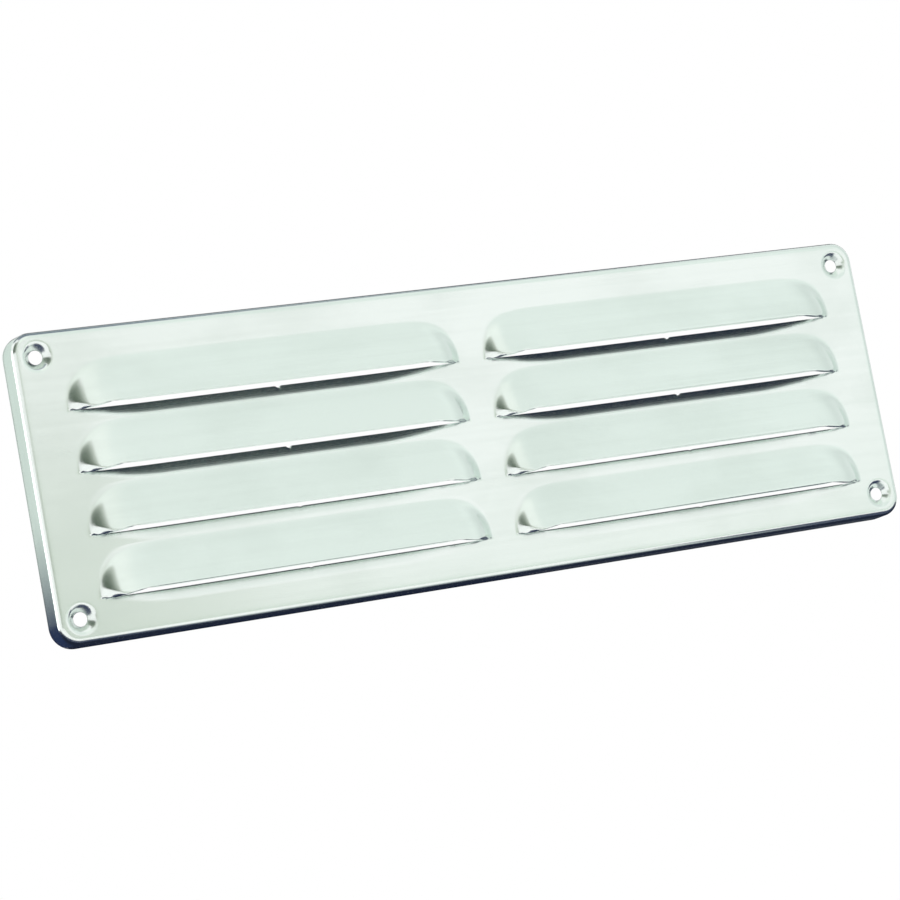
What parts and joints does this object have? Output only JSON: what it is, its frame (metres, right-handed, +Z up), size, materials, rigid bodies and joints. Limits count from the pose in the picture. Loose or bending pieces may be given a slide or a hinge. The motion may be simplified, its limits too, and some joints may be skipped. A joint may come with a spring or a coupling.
{
  "type": "louvred grille",
  "caption": "Flat rectangular vent cover of pressed sheet metal, with rows of louvres in side-by-side columns, a rim turned back all round and a dimpled screw hole in each corner.",
  "frame": {"origin": "centre of the screw-hole pattern, halfway through the holes' walls", "axes": "+X along the grille's length, +Z up with the louvres opening downwards, +Y into the wall"},
  "size_m": [0.301, 0.0142, 0.096],
  "materials": {
    "aluminium": "plain mill-finish aluminium sheet with a fine rolled grain along its length"
  },
  "bodies": {
    "root": {"louvred_grille": "aluminium"}
  },
  "joints": []
}
